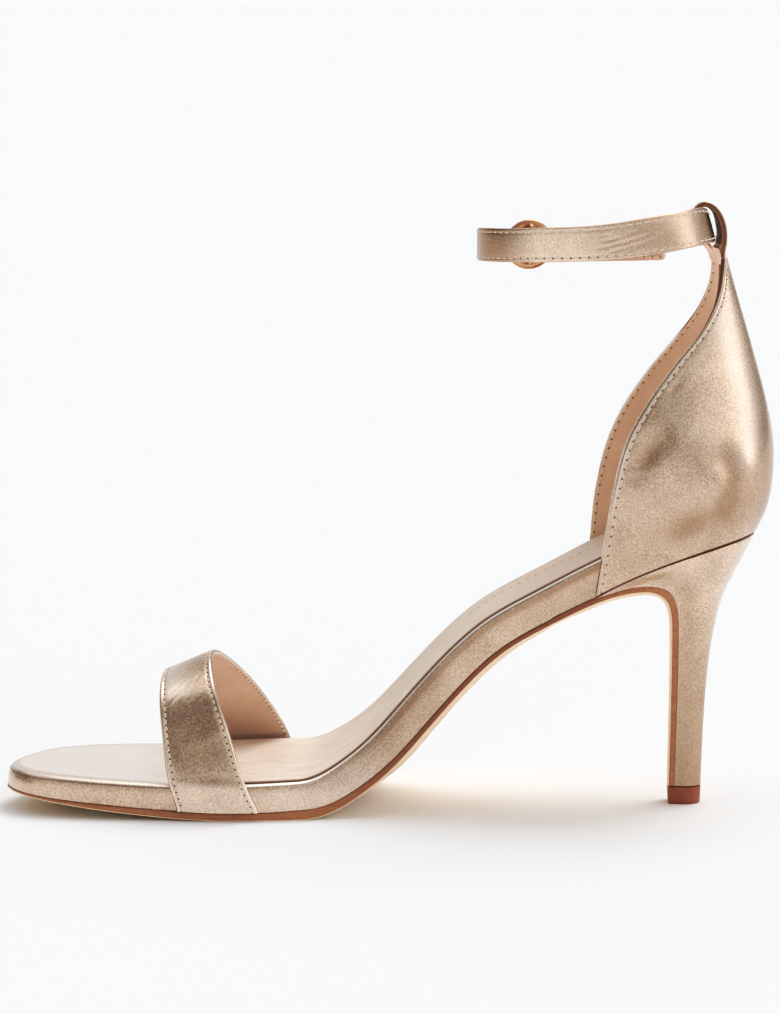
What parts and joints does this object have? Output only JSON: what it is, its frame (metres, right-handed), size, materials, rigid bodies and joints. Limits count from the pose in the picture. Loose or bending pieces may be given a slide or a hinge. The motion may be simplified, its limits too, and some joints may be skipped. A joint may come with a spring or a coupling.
{
  "type": "ankle strap sandal",
  "caption": "High-heeled ankle strap sandal with an open toe band, a hollow heel cup with a strap loop, a thin stiletto heel and a round buckle.",
  "frame": {"origin": "centre of the bounding box, on the floor under the sole", "axes": "toe to -X, heel to +X, inner side of the foot to -Y, up +Z"},
  "size_m": [0.222, 0.0764, 0.175],
  "materials": {
    "sole_brown": "matte brown resin sole with a pale underside",
    "gold_leather": "metallic rose gold foil on smooth leather, soft sheen",
    "nude_leather": "smooth nude lining leather, satin",
    "heel_gold": "metallic rose gold leather wrapped over a hard heel",
    "tip_rubber": "hard brown top piece",
    "copper_metal": "polished copper-coloured plating"
  },
  "bodies": {
    "root": {"outsole": "sole_brown", "footbed": "gold_leather", "sock": "nude_leather", "heel": "heel_gold", "heel_tip": "tip_rubber", "vamp_strap": "gold_leather", "heel_counter": "gold_leather", "ankle_strap": "gold_leather", "buckle_frame": "copper_metal", "buckle_prong": "copper_metal"}
  },
  "joints": []
}
